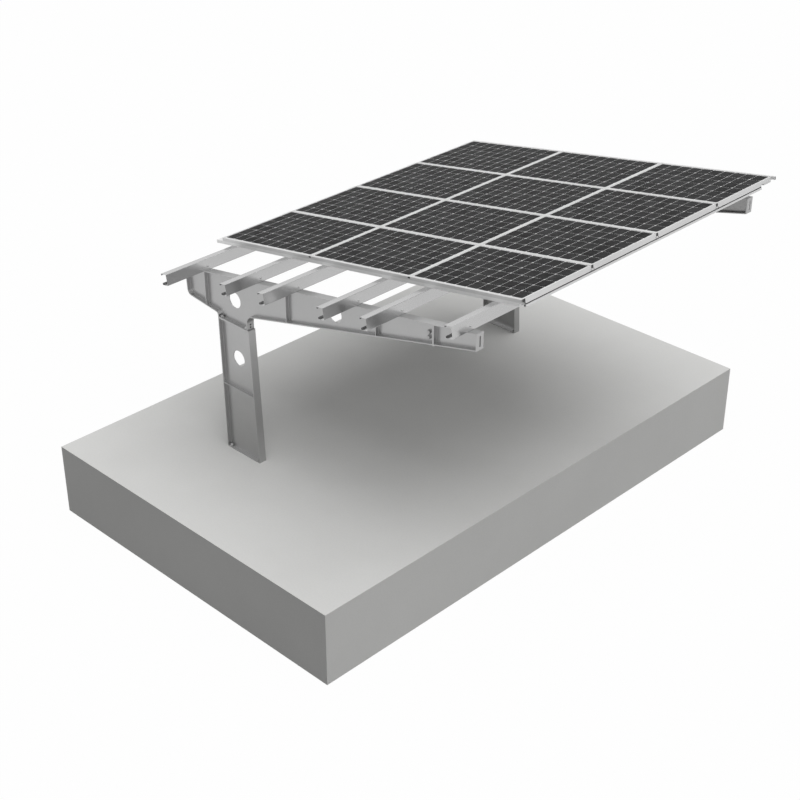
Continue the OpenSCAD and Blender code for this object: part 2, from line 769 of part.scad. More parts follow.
// Cover strips on the joints between columns, from one row strip to the next
column_stem_w = column_gap - 2 * strip_play;
strip_end = (row_strip_w - row_gap) / 2;
module column_strips() {
    color(anodised) on_roof() difference() {
        for (c = [1 : columns - 1], r = [0 : rows - 1]) {
            from = r == 0 ? canopy_near : module_v(r) + strip_end;
            to = r == rows - 1 ? canopy_near + canopy_w : module_v(r) + module_w - strip_end;
            translate([module_u(c) - column_gap / 2, from, module_z + module_h]) {
                translate([-column_strip_w / 2, 0, 0]) cube([column_strip_w, to - from, trim_t]);
                translate([-column_stem_w / 2, 0, -column_stem_h])
                    cube([column_stem_w, to - from, column_stem_h + trim_t / 2]);
            }
        }
        edge_screw_holes();
    }
}

// Two-band fascia with a groove, screwed into the ports at the ends of the inner rails
fascia_from = canopy_near + fascia_start;
fascia_to = rail_v(rows) - rail_w / 2 - fascia_stop;
module fascia() {
    back = canopy_end - fascia_d;
    color(anodised) on_roof() difference() {
        translate([back, fascia_from, module_z - fascia_h])
            cube([fascia_d, fascia_to - fascia_from, fascia_h]);
        translate([canopy_end - groove_d, fascia_from - cut, groove_z])
            cube([groove_d + cut, fascia_to - fascia_from + 2 * cut, groove_h]);
        translate([back + trim_t, fascia_from - cut, module_z - fascia_h + trim_t])
            cube([fascia_d - 2 * trim_t, fascia_to - fascia_from + 2 * cut,
                fascia_band - 2 * trim_t]);
        translate([back + trim_t, fascia_from - cut, groove_z + groove_h + trim_t])
            cube([fascia_d - 2 * trim_t, fascia_to - fascia_from + 2 * cut,
                upper_band - 2 * trim_t]);
        at_fascia_screws()
            translate([0, 0, -screw_l])
                cylinder(h = screw_l + cut, r = screw_d / 2 + thread_play, $fn = bolt_fn);
    }
}
module at_fascia_screws() {
    for (k = [1 : rows - 1], s = [-1, 1])
        translate([canopy_end, rail_v(k) + s * port_gap, rail_z + port_z])
            rotate([0, 90, 0])
                children();
}

// Round-headed screw with its head's underside at zero and its shank pointing down
module screw() {
    cylinder(h = screw_head_h, d = screw_head_d, $fn = bolt_fn);
    translate([0, 0, -screw_l]) cylinder(h = screw_l, d = screw_d, $fn = bolt_fn);
}

module trim_screws() {
    color(zinc) on_roof() {
        at_fascia_screws() screw();
        at_edge_screws() screw();
    }
}

module module_frame(c, r) {
    inner_l = module_l - 2 * frame_wall;
    inner_w = module_w - 2 * frame_wall;
    bite = laminate_bite + laminate_play;
    color(anodised) on_roof() translate([module_u(c - 1), module_v(r - 1), module_z]) difference() {
        cube([module_l, module_w, module_h]);
        translate([frame_wall, frame_wall, frame_foot_t])
            cube([inner_l, inner_w, module_h]);
        translate([frame_foot, frame_foot, -cut])
            cube([module_l - 2 * frame_foot, module_w - 2 * frame_foot, module_h]);
        translate([frame_wall - bite, frame_wall - bite, laminate_z - module_z - laminate_play])
            cube([inner_l + 2 * bite, inner_w + 2 * bite, laminate_t + 2 * laminate_play]);
    }
}

module laminate(c, r) {
    margin = frame_wall - laminate_bite;
    color(cells) on_roof()
        translate([module_u(c - 1) + margin, module_v(r - 1) + margin, laminate_z])
            cube([module_l - 2 * margin, module_w - 2 * margin, laminate_t]);
}

module junction_boxes() {
    color(black_plastic) on_roof() for (c = [0 : columns - 1], r = [0 : rows - 1])
        translate([module_u(c) + module_l - box_back - box_l, module_v(r) + (module_w - box_w) / 2,
            laminate_z - box_h])
            cube([box_l, box_w, box_h]);
}

foundation_slab();
column(near_y);  // near_column
column(far_y);  // far_column
rafter(near_y);  // near_rafter
rafter(far_y);  // far_rafter
rafter_tip(near_y);  // near_rafter_tip
rafter_tip(far_y);  // far_rafter_tip
anchor_rods();
joint_bolts();
large_nuts();
tip_bolts();
tip_nuts();
tip_washers();
purlin(0);  // purlin_1
purlin(1);  // purlin_2
purlin(2);  // purlin_3
purlin(3);  // purlin_4
purlin(4);  // purlin_5
purlin(5);  // purlin_6
purlin_cleats();
cleat_bolts();
rail_bolts();
small_nuts();
rail(0);  // rail_1
rail(1);  // rail_2
rail(2);  // rail_3
rail(3);  // rail_4
rail(4);  // rail_5
rail_caps();
edge_profile(canopy_near - edge_w, canopy_l);  // near_edge_profile
edge_profile(canopy_near + canopy_w, canopy_l + far_edge_reach);  // far_edge_profile
row_strips();
column_strips();
fascia();
trim_screws();
junction_boxes();
module_frame(1, 1);  // module_frame_11
module_frame(1, 2);  // module_frame_12
module_frame(1, 3);  // module_frame_13
module_frame(1, 4);  // module_frame_14
module_frame(2, 1);  // module_frame_21
module_frame(2, 2);  // module_frame_22
module_frame(2, 3);  // module_frame_23
module_frame(2, 4);  // module_frame_24
module_frame(3, 1);  // module_frame_31
module_frame(3, 2);  // module_frame_32
module_frame(3, 3);  // module_frame_33
module_frame(3, 4);  // module_frame_34
laminate(1, 1);  // laminate_11
laminate(1, 2);  // laminate_12
laminate(1, 3);  // laminate_13
laminate(1, 4);  // laminate_14
laminate(2, 1);  // laminate_21
laminate(2, 2);  // laminate_22
laminate(2, 3);  // laminate_23
laminate(2, 4);  // laminate_24
laminate(3, 1);  // laminate_31
laminate(3, 2);  // laminate_32
laminate(3, 3);  // laminate_33
laminate(3, 4);  // laminate_34
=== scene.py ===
import json
import math

import bmesh
import bpy
from mathutils import Euler, Matrix, Vector


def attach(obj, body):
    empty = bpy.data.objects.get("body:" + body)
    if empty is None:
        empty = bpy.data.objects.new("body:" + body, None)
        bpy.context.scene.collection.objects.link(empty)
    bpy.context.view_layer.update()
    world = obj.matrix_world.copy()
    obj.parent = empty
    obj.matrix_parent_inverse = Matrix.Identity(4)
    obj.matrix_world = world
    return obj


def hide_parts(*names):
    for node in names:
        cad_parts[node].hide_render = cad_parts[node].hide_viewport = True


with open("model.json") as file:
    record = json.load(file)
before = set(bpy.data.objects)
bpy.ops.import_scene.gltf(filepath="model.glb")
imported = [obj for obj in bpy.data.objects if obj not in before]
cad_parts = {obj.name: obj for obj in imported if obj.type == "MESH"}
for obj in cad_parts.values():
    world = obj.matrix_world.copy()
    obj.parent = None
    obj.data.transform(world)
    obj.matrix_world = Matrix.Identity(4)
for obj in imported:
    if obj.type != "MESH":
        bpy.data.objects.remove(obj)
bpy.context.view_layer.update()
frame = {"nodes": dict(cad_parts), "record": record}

nodes = frame["nodes"]
scene = bpy.context.scene

# camera: the photo's viewing angle, fitted for a square picture
camera = {
    "place": (12.823, -13.180, 11.912),
    "yaw": -44.62,          # degrees, from +Y towards +X
    "pitch": 30.467,        # degrees below the horizon
    "roll": -0.075,
    "focal": 1576.135,      # in pixels of an 800 pixel picture
    "picture": 800,
    "sensor": 36.0,
    "clipEnd": 200,
}


def makeCamera(c):
    yaw, pitch, roll = (math.radians(c[turn]) for turn in ("yaw", "pitch", "roll"))
    forward = Vector((math.sin(yaw) * math.cos(pitch),
                      math.cos(yaw) * math.cos(pitch),
                      -math.sin(pitch)))
    right = Vector((math.cos(yaw), -math.sin(yaw), 0))
    up = right.cross(forward)
    tiltedRight = math.cos(roll) * right + math.sin(roll) * up
    tiltedUp = -math.sin(roll) * right + math.cos(roll) * up
    data = bpy.data.cameras.new("camera")
    data.sensor_width = c["sensor"]
    data.lens = c["focal"] / c["picture"] * c["sensor"]
    data.clip_end = c["clipEnd"]
    obj = bpy.data.objects.new("camera", data)
    scene.collection.objects.link(obj)
    axes = Matrix((tiltedRight, tiltedUp, -forward)).transposed()
    obj.matrix_world = Matrix.Translation(c["place"]) @ axes.to_4x4()
    scene.camera = obj


makeCamera(camera)
print("camera placed")


# short ways to add shader nodes and join them
def addNode(tree, kind, **settings):
    node = tree.nodes.new(kind)
    for name, value in settings.items():
        setattr(node, name, value)
    return node


def fill(tree, socket, value):
    # a number or a colour is set on the socket, another node's output is linked to it
    if isinstance(value, bpy.types.NodeSocket):
        tree.links.new(value, socket)
    elif socket.type == "RGBA":
        colour = value if isinstance(value, tuple) else (value, value, value)
        socket.default_value = (*colour, 1)
    else:
        socket.default_value = value


def addMath(tree, operation, first, second):
    node = addNode(tree, "ShaderNodeMath", operation=operation)
    fill(tree, node.inputs[0], first)
    fill(tree, node.inputs[1], second)
    return node.outputs[0]


def addRange(tree, value, fromLow, fromHigh, toLow, toHigh):
    node = addNode(tree, "ShaderNodeMapRange")
    labels = ("Value", "From Min", "From Max", "To Min", "To Max")
    for label, limit in zip(labels, (value, fromLow, fromHigh, toLow, toHigh)):
        fill(tree, node.inputs[label], limit)
    return node.outputs["Result"]


def mixColours(tree, share, first, second):
    mix = addNode(tree, "ShaderNodeMix", data_type="RGBA")
    fill(tree, mix.inputs["Factor"], share)
    fill(tree, mix.inputs["A"], first)
    fill(tree, mix.inputs["B"], second)
    return mix.outputs["Result"]


# light: a pale sky, a wide soft sun from above and a weaker one from the high edge's side
light = {
    "sky": 0.29,
    "backdrop": 0.985,              # what the camera and reflections see behind all
    "sunStrength": 1.85,
    "sunAngle": 54,
    "sunTurn": (-5.6, 12.9, 0),     # degrees from straight down
    "sideStrength": 1.0,
    "sideAngle": 60,
    "sideTurn": (15.8, 51.4, 0),
}
stage = {
    "floorSize": 120.0,
    "floorColour": (0.10, 0.10, 0.10),
    "floorGlow": 1.09,
    "shadowShare": 0.10,            # how much of the lit floor, with its shadow, the camera sees
}


def makeSun(name, strength, angle, turn):
    data = bpy.data.lights.new(name, "SUN")
    data.energy = strength
    data.angle = math.radians(angle)
    obj = bpy.data.objects.new(name, data)
    obj.rotation_euler = Euler([math.radians(a) for a in turn])
    scene.collection.objects.link(obj)


def seenBy(tree, *rays):
    # 1 for these kinds of ray and 0 for all others
    path = addNode(tree, "ShaderNodeLightPath")
    seen = path.outputs[rays[0]]
    for ray in rays[1:]:
        seen = addMath(tree, "MAXIMUM", seen, path.outputs[ray])
    return seen


def swapSurface(tree, share, lit, seen, outKind):
    mix = addNode(tree, "ShaderNodeMixShader")
    out = addNode(tree, outKind)
    tree.links.new(share, mix.inputs[0])
    tree.links.new(lit.outputs[0], mix.inputs[1])
    tree.links.new(seen.outputs[0], mix.inputs[2])
    tree.links.new(mix.outputs[0], out.inputs["Surface"])


def makeWorld(air):
    world = bpy.data.worlds.new("sky")
    scene.world = world
    world.use_nodes = True
    tree = world.node_tree
    tree.nodes.clear()
    shades = []
    for strength in (air["sky"], air["backdrop"]):
        shade = addNode(tree, "ShaderNodeBackground")
        shade.inputs["Color"].default_value = (1, 1, 1, 1)
        shade.inputs["Strength"].default_value = strength
        shades.append(shade)
    seen = seenBy(tree, "Is Camera Ray", "Is Glossy Ray", "Is Transmission Ray")
    swapSurface(tree, seen, shades[0], shades[1], "ShaderNodeOutputWorld")


def makeFloor(s):
    mesh = bpy.data.meshes.new("floor")
    half = s["floorSize"] / 2
    corners = [(-half, -half, 0), (half, -half, 0), (half, half, 0), (-half, half, 0)]
    mesh.from_pydata(corners, [], [(0, 1, 2, 3)])
    floor = bpy.data.objects.new("floor", mesh)
    scene.collection.objects.link(floor)
    material = bpy.data.materials.new("paleFloor")
    material.use_nodes = True
    tree = material.node_tree
    tree.nodes.clear()
    matt = addNode(tree, "ShaderNodeBsdfDiffuse")
    matt.inputs["Color"].default_value = (*s["floorColour"], 1)
    white = addNode(tree, "ShaderNodeEmission")
    white.inputs["Strength"].default_value = s["floorGlow"]
    seen = seenBy(tree, "Is Camera Ray", "Is Glossy Ray")
    share = addMath(tree, "MULTIPLY", seen, 1 - s["shadowShare"])
    swapSurface(tree, share, matt, white, "ShaderNodeOutputMaterial")
    mesh.materials.append(material)


scene.view_settings.view_transform = "Standard"
makeWorld(light)
makeSun("topSun", light["sunStrength"], light["sunAngle"], light["sunTurn"])
makeSun("sideSun", light["sideStrength"], light["sideAngle"], light["sideTurn"])
makeFloor(stage)
print("stage and light made")

# effects that several materials share, each a node group
effect = {
    "patchDetail": 4,
    "fineDetail": 3,
    "noiseRoughness": 0.6,
    "spotFade": 0.12,       # how softly a spot ends
    "bevelSamples": 4,
    "edgeFull": 0.9,        # at this cosine the edge mask is full
}


def newGroup(name, inputs, outputs):
    group = bpy.data.node_groups.new(name, "ShaderNodeTree")
    for label, value in inputs.items():
        socket = group.interface.new_socket(label, in_out="INPUT", socket_type="NodeSocketFloat")
        socket.default_value = value
    for label, kind in outputs.items():
        group.interface.new_socket(label, in_out="OUTPUT", socket_type=kind)
    return group, group.nodes.new("NodeGroupInput"), group.nodes.new("NodeGroupOutput")


def makeMottle(e):
    # soft patches with a finer mottle laid over them
    group, given, out = newGroup("mottle", {"Patch Scale": 2, "Fine Scale": 60, "Fine Share": 0.4},
                                 {"Value": "NodeSocketFloat"})
    place = addNode(group, "ShaderNodeTexCoord")
    values = []
    for label, detail in (("Patch Scale", e["patchDetail"]), ("Fine Scale", e["fineDetail"])):
        noise = addNode(group, "ShaderNodeTexNoise")
        noise.inputs["Detail"].default_value = detail
        noise.inputs["Roughness"].default_value = e["noiseRoughness"]
        group.links.new(place.outputs["Object"], noise.inputs["Vector"])
        group.links.new(given.outputs[label], noise.inputs["Scale"])
        values.append(noise.outputs["Fac"])
    mix = addNode(group, "ShaderNodeMix", data_type="FLOAT")
    group.links.new(given.outputs["Fine Share"], mix.inputs["Factor"])
    group.links.new(values[0], mix.inputs["A"])
    group.links.new(values[1], mix.inputs["B"])
    group.links.new(mix.outputs["Result"], out.inputs["Value"])
    return group


def addCrystals(group, given):
    place = addNode(group, "ShaderNodeTexCoord")
    crystals = addNode(group, "ShaderNodeTexVoronoi")
    group.links.new(place.outputs["Object"], crystals.inputs["Vector"])
    group.links.new(given.outputs["Scale"], crystals.inputs["Scale"])
    return crystals


def makeSpeckle(e):
    # small separate spots, 1 inside a spot
    group, given, out = newGroup("speckle", {"Scale": 200, "Amount": 0.2}, {"Value": "NodeSocketFloat"})
    crystals = addCrystals(group, given)
    edge = addMath(group, "SUBTRACT", given.outputs["Amount"], crystals.outputs["Distance"])
    group.links.new(addRange(group, edge, 0.0, e["spotFade"], 0.0, 1.0), out.inputs["Value"])
    return group


def makeSpangle():
    # crystals of a hot-dip coating, one shade each
    group, given, out = newGroup("spangle", {"Scale": 120}, {"Value": "NodeSocketFloat"})
    split = addNode(group, "ShaderNodeSeparateColor")
    group.links.new(addCrystals(group, given).outputs["Color"], split.inputs[0])
    group.links.new(split.outputs[0], out.inputs["Value"])
    return group


def makeSoftEdge(e):
    # rounded normals along sharp edges, and a mask that is 1 on the edge itself
    group, given, out = newGroup("softEdge", {"Radius": 0.002},
                                 {"Edge": "NodeSocketFloat", "Normal": "NodeSocketVector"})
    bevel = addNode(group, "ShaderNodeBevel", samples=e["bevelSamples"])
    group.links.new(given.outputs["Radius"], bevel.inputs["Radius"])
    surface = addNode(group, "ShaderNodeNewGeometry")
    dot = addNode(group, "ShaderNodeVectorMath", operation="DOT_PRODUCT")
    group.links.new(bevel.outputs["Normal"], dot.inputs[0])
    group.links.new(surface.outputs["Normal"], dot.inputs[1])
    mask = addRange(group, dot.outputs["Value"], 1.0, e["edgeFull"], 0.0, 1.0)
    group.links.new(mask, out.inputs["Edge"])
    group.links.new(bevel.outputs["Normal"], out.inputs["Normal"])
    return group


mottle, speckle = makeMottle(effect), makeSpeckle(effect)
spangle, softEdge = makeSpangle(), makeSoftEdge(effect)


def addGroup(tree, group, **values):
    node = addNode(tree, "ShaderNodeGroup", node_tree=group)
    for label, value in values.items():
        node.inputs[label].default_value = value
    return node


def addPatches(tree, m):
    values = {"Patch Scale": m["patch"], "Fine Scale": m["fine"], "Fine Share": m["fineShare"]}
    return addGroup(tree, mottle, **values).outputs["Value"]


def newMaterial(name, metallic=0.0, roughness=0.5, specular=0.5, coat=0.0, coatRoughness=0.03):
    material = bpy.data.materials.new(name)
    material.use_nodes = True
    tree = material.node_tree
    shader = tree.nodes["Principled BSDF"]
    shader.inputs["Metallic"].default_value = metallic
    shader.inputs["Roughness"].default_value = roughness
    shader.inputs["Specular IOR Level"].default_value = specular
    shader.inputs["Coat Weight"].default_value = coat
    shader.inputs["Coat Roughness"].default_value = coatRoughness
    return material, tree, shader


def addBump(tree, shader, value, depth, normal=None):
    bump = addNode(tree, "ShaderNodeBump")
    bump.inputs["Strength"].default_value = 1.0
    bump.inputs["Distance"].default_value = depth
    tree.links.new(value, bump.inputs["Height"])
    if normal is not None:
        tree.links.new(normal, bump.inputs["Normal"])
    tree.links.new(bump.outputs["Normal"], shader.inputs["Normal"])


concrete = {
    "dark": (0.58, 0.58, 0.57),
    "light": (0.64, 0.64, 0.63),
    "pore": (0.42, 0.42, 0.41),
    "roughness": 0.85,
    "specular": 0.2,
    "patch": 0.9, "fine": 45, "fineShare": 0.5,
    "patchSpread": (0.25, 0.75),    # mottle values that give the dark and the light shade
    "poreScale": 55, "poreAmount": 0.14, "poreShare": 0.5,
    "grainDepth": 0.0006,
}


def makeConcrete(c):
    material, tree, shader = newMaterial("concrete", roughness=c["roughness"], specular=c["specular"])
    patches = addPatches(tree, c)
    pores = addGroup(tree, speckle, Scale=c["poreScale"], Amount=c["poreAmount"]).outputs["Value"]
    tone = addRange(tree, patches, *c["patchSpread"], 0.0, 1.0)
    base = mixColours(tree, tone, c["dark"], c["light"])
    poreShare = addMath(tree, "MULTIPLY", pores, c["poreShare"])
    tree.links.new(mixColours(tree, poreShare, base, c["pore"]), shader.inputs["Base Color"])
    addBump(tree, shader, addMath(tree, "SUBTRACT", patches, pores), c["grainDepth"])
    return material


# shades are greys, lengths are metres, and rough goes with the dark and the light shade
metalSpread = (0.3, 0.7)
wornShare = 0.6             # how far an edge takes the edge shade
metals = {
    "frameSteel": {
        "metallic": 0.88, "dark": 0.41, "light": 0.46, "edge": 0.52, "rough": (0.30, 0.34),
        "patch": 1.6, "fine": 90, "fineShare": 0.35, "edgeRadius": 0.002, "depth": 0.00005},
    "aluminium": {
        "metallic": 0.7, "dark": 0.62, "light": 0.69, "edge": 0.76, "rough": (0.42, 0.50),
        "patch": 1.1, "fine": 160, "fineShare": 0.3, "edgeRadius": 0.001, "depth": 0.0001},
    "millAluminium": {
        "metallic": 0.7, "dark": 0.74, "light": 0.80, "edge": 0.84, "rough": (0.46, 0.56),
        "patch": 0.8, "fine": 120, "fineShare": 0.4, "edgeRadius": 0.001, "depth": 0.0001},
    "zincSteel": {
        "metallic": 0.8, "dark": 0.36, "light": 0.46, "edge": 0.52, "rough": (0.35, 0.5),
        "patch": 30, "fine": 260, "fineShare": 0.5, "edgeRadius": 0.001, "depth": 0.0001},
    "darkSteel": {
        "metallic": 0.8, "dark": 0.07, "light": 0.12, "edge": 0.20, "rough": (0.40, 0.5),
        "patch": 40, "fine": 300, "fineShare": 0.5, "edgeRadius": 0.0006, "depth": 0.0001},
    # weld beads: a darker steel than the frame, painted shade in the corners that the beads fill
    "weldSteel": {
        "metallic": 0.9, "dark": 0.26, "light": 0.34, "edge": 0.36, "rough": (0.35, 0.5),
        "patch": 12, "fine": 300, "fineShare": 0.5, "edgeRadius": 0.0005, "depth": 0.0002},
}


def makeMetal(name, m):
    material, tree, shader = newMaterial(name, metallic=m["metallic"])
    patches = addPatches(tree, m)
    edges = addGroup(tree, softEdge, Radius=m["edgeRadius"])
    tone = addRange(tree, patches, *metalSpread, 0.0, 1.0)
    base = mixColours(tree, tone, m["dark"], m["light"])
    worn = addMath(tree, "MULTIPLY", edges.outputs["Edge"], wornShare)
    tree.links.new(mixColours(tree, worn, base, m["edge"]), shader.inputs["Base Color"])
    roughness = addRange(tree, patches, *metalSpread, *m["rough"])
    tree.links.new(roughness, shader.inputs["Roughness"])
    addBump(tree, shader, patches, m["depth"], edges.outputs["Normal"])
    return material


def blendedTone(tree, own, m):
    # each crystal's or cell's own shade, with the mottle over it
    ownPart = addMath(tree, "MULTIPLY", own, m["ownShare"])
    patchPart = addRange(tree, addPatches(tree, m), *m["patchSpread"], 0.0, m["patchShare"])
    return addMath(tree, "ADD", ownPart, patchPart)


galvanised = {
    "metallic": 1.0, "dark": 0.48, "light": 0.53, "rough": (0.23, 0.24), "spangleScale": 90,
    "patch": 1.5, "fine": 70, "fineShare": 0.3,
    "patchSpread": (0.3, 0.7), "patchShare": 0.65, "ownShare": 0.2,
}


def makeGalvanised(g):
    material, tree, shader = newMaterial("purlinSteel", metallic=g["metallic"])
    crystals = addGroup(tree, spangle, Scale=g["spangleScale"]).outputs["Value"]
    shade = mixColours(tree, blendedTone(tree, crystals, g), g["dark"], g["light"])
    tree.links.new(shade, shader.inputs["Base Color"])
    tree.links.new(addRange(tree, crystals, 0.0, 1.0, *g["rough"]), shader.inputs["Roughness"])
    return material


moduleCoat = {"coat": 0.02, "coatRoughness": 0.10}
solarCell = {
    "dark": 0.002, "light": (0.040, 0.040, 0.041), "roughness": 0.45, "specular": 0.02,
    "patch": 9, "fine": 30, "fineShare": 0.4,
    "patchSpread": (0.36, 0.64), "patchShare": 0.65, "ownShare": 0.35,
}
backSheet = {
    "dark": 0.74, "light": 0.80, "roughness": 0.5, "specular": 0.2,
    "patch": 3, "fine": 50, "fineShare": 0.4, "patchSpread": (0.3, 0.7),
}
ribbon = {"shade": 0.035, "roughness": 0.5, "specular": 0.2}


def newCoated(name, m):
    return newMaterial(name, roughness=m["roughness"], specular=m["specular"], **moduleCoat)


def makeSolarCell(m):
    material, tree, shader = newCoated("solarCell", m)
    island = addNode(tree, "ShaderNodeNewGeometry")
    tone = blendedTone(tree, island.outputs["Random Per Island"], m)
    tree.links.new(mixColours(tree, tone, m["dark"], m["light"]), shader.inputs["Base Color"])
    return material


def makeBackSheet(m):
    material, tree, shader = newCoated("backSheet", m)
    tone = addRange(tree, addPatches(tree, m), *m["patchSpread"], 0.0, 1.0)
    tree.links.new(mixColours(tree, tone, m["dark"], m["light"]), shader.inputs["Base Color"])
    return material


def makeRibbon(m):
    material, tree, shader = newCoated("ribbon", m)
    fill(tree, shader.inputs["Base Color"], m["shade"])
    return material


plastics = {
    "blackPlastic": {"dark": 0.015, "light": 0.045, "roughness": 0.5},
    "rubber": {"dark": 0.01, "light": 0.03, "roughness": 0.75},
}
plasticGrain = {"patch": 8, "fine": 900, "fineShare": 0.7, "depth": 0.0002}


def makePlastic(name, p, g):
    material, tree, shader = newMaterial(name, roughness=p["roughness"])
    grain = addPatches(tree, g)
    tree.links.new(mixColours(tree, grain, p["dark"], p["light"]), shader.inputs["Base Color"])
    addBump(tree, shader, grain, g["depth"])
    return material


finish = {name: makeMetal(name, m) for name, m in metals.items()}
finish.update({name: makePlastic(name, p, plasticGrain) for name, p in plastics.items()})
finish["concrete"] = makeConcrete(concrete)
finish["purlinSteel"] = makeGalvanised(galvanised)
finish["solarCell"] = makeSolarCell(solarCell)
finish["backSheet"] = makeBackSheet(backSheet)
finish["ribbon"] = makeRibbon(ribbon)

slotFinish = {
    "concrete": "concrete",
    "painted_steel": "frameSteel",
    "galvanised_steel": "purlinSteel",
    "zinc_steel": "zincSteel",
    "anodised_aluminium": "aluminium",
    "module_glass": "backSheet",
    "black_plastic": "blackPlastic",
}
nodeFinish = {"trim_screws": "darkSteel"}       # nodes that differ from the rest of their slot
nodeFinish.update({name: "millAluminium" for name in nodes if name.startswith("rail_") and name[-1].isdigit()})
for part in frame["record"]["subparts"]:
    mesh = nodes[part["node"]].data
    mesh.materials.clear()
    mesh.materials.append(finish[nodeFinish.get(part["node"], slotFinish[part["material_slot"]])])
print("materials given")


# pieces
def makePiece(name, verts, faces, material, slotName, smooth=False):
    mesh = bpy.data.meshes.new(name)
    mesh.from_pydata(verts, [], faces)
    mesh.materials.append(finish[material])
    if smooth:
        mesh.shade_smooth()
    obj = bpy.data.objects.new(name, mesh)
    scene.collection.objects.link(obj)
    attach(obj, "root")
    return obj


def joined(parts):
    verts, faces = [], []
    for partVerts, partFaces in parts:
        start = len(verts)
        verts += partVerts
        faces += [tuple(start + i for i in face) for face in partFaces]
    return verts, faces


# the roof's own axes: x up the slope, y along the purlins, z off the modules
roofTilt = math.radians(10)
toRoof = Matrix.Rotation(roofTilt, 3, "Y")
fromRoof = toRoof.inverted()


def span(points):
    # lowest and highest corner of the points, in the roof's axes
    places = [toRoof @ p for p in points]
    return [[pick(p[k] for p in places) for k in range(3)] for pick in (min, max)]


def roofBox(nodeName):
    return span(v.co for v in nodes[nodeName].data.vertices)


def plate(outline, low, high):
    # a flat plate with the given outline, in the roof's axes
    n = len(outline)
    verts = [fromRoof @ Vector((x, y, z)) for z in (low, high) for x, y in outline]
    faces = [tuple(reversed(range(n))), tuple(range(n, 2 * n))]
    faces += [(k, (k + 1) % n, n + (k + 1) % n, n + k) for k in range(n)]
    return verts, faces


def rectangle(x0, y0, x1, y1):
    return [(x0, y0), (x1, y0), (x1, y1), (x0, y1)]


def cutRectangle(x0, y0, x1, y1, cut):
    return [(x0 + cut, y0), (x1 - cut, y0), (x1, y0 + cut), (x1, y1 - cut),
            (x1 - cut, y1), (x0 + cut, y1), (x0, y1 - cut), (x0, y0 + cut)]


def block(low, high):
    # a box between two corners, in the roof's axes
    return plate(rectangle(low[0], low[1], high[0], high[1]), low[2], high[2])


cell = {
    "alongSlope": 10,
    "across": 6,
    "frameCover": 0.006,        # how far the frame covers the laminate's rim
    "rim": 0.011,               # pale rim between the frame and the outer cells
    "slopeGap": 0.0045,         # between cells up the slope, the brighter lines
    "acrossGap": 0.0026,
    "corner": 0.011,            # cut corners, which leave a pale diamond at each crossing
    "thick": 0.0002,
    "ribbons": 3,
    "ribbonWidth": 0.0010,
    "ribbonThick": 0.0003,
}
seal = {"width": 0.0016, "thick": 0.0006}


def moduleFace(nodeName, c):
    low, high = roofBox(nodeName)
    inset = c["frameCover"] + c["rim"]
    x0, y0 = low[0] + inset, low[1] + inset
    pitchX = (high[0] - low[0] - 2 * inset) / c["alongSlope"]
    pitchY = (high[1] - low[1] - 2 * inset) / c["across"]
    halfX, halfY = c["slopeGap"] / 2, c["acrossGap"] / 2
    top = high[2]
    cellParts, ribbonParts = [], []
    for i in range(c["alongSlope"]):
        for j in range(c["across"]):
            outline = cutRectangle(x0 + i * pitchX + halfX, y0 + j * pitchY + halfY,
                                   x0 + (i + 1) * pitchX - halfX, y0 + (j + 1) * pitchY - halfY,
                                   c["corner"])
            cellParts.append(plate(outline, top, top + c["thick"]))
    half = c["ribbonWidth"] / 2
    start, end = x0 + c["slopeGap"], x0 + c["alongSlope"] * pitchX - c["slopeGap"]
    for j in range(c["across"]):
        for r in range(c["ribbons"]):
            y = y0 + (j + (r + 0.5) / c["ribbons"]) * pitchY
            ribbonParts.append(block((start, y - half, top), (end, y + half, top + c["ribbonThick"])))
    label = nodeName.split("_")[1]
    makePiece("cells_" + label, *joined(cellParts), "solarCell", "module_glass")
    makePiece("ribbons_" + label, *joined(ribbonParts), "ribbon", "module_glass")


def moduleSeal(nodeName, c, s):
    low, high = roofBox(nodeName)
    cover, w = c["frameCover"], s["width"]
    x0, x1, y0, y1 = low[0] + cover, high[0] - cover, low[1] + cover, high[1] - cover
    strips = [(x0, y0, x1, y0 + w), (x0, y1 - w, x1, y1),
              (x0, y0 + w, x0 + w, y1 - w), (x1 - w, y0 + w, x1, y1 - w)]
    parts = [plate(rectangle(*strip), high[2], high[2] + s["thick"]) for strip in strips]
    makePiece("seal_" + nodeName.split("_")[1], *joined(parts), "rubber", "black_plastic")


laminates = [name for name in nodes if name.startswith("laminate_")]
for nodeName in laminates:
    moduleFace(nodeName, cell)
    moduleSeal(nodeName, cell, seal)
print("module faces made:", len(laminates))

mergeGap = 0.00005          # corners closer than this are one corner


def mergedMesh(nodeName):
    mesh = bmesh.new()
    mesh.from_mesh(nodes[nodeName].data)
    bmesh.ops.remove_doubles(mesh, verts=mesh.verts, dist=mergeGap)
    return mesh


# weld beads in the corners between webs, flanges and stiffeners, found on the members' own meshes; their steel
# is darker than the frame's, painted shade along these corners
weld = {
    "leg": 0.004,
    "bulge": 0.60,
    "ripple": 0.05,
    "step": 0.012,
    "shortest": 0.03,
    "inward": 50,           # degrees that two faces turn towards each other, at least
    "web": 0.99,            # a web's normal lies along Y at least this far
    "plate": 0.1,           # and that of the plate on it at most this far
}
members = ("near_column", "far_column", "near_rafter", "far_rafter", "near_rafter_tip", "far_rafter_tip")


def weldBead(start, end, webNormal, plateNormal, w):
    steps = max(2, round((end - start).length / w["step"]))
    verts, faces = [], []
    for k in range(steps + 1):
        p = start.lerp(end, k / steps)
        bulge = w["leg"] * (w["bulge"] + (w["ripple"] if k % 2 else -w["ripple"]))
        verts += [p + plateNormal * w["leg"], p + (plateNormal + webNormal) * bulge, p + webNormal * w["leg"]]
    for k in range(steps):
        a = 3 * k
        faces += [(a, a + 1, a + 4, a + 3), (a + 1, a + 2, a + 5, a + 4)]
    return verts, faces


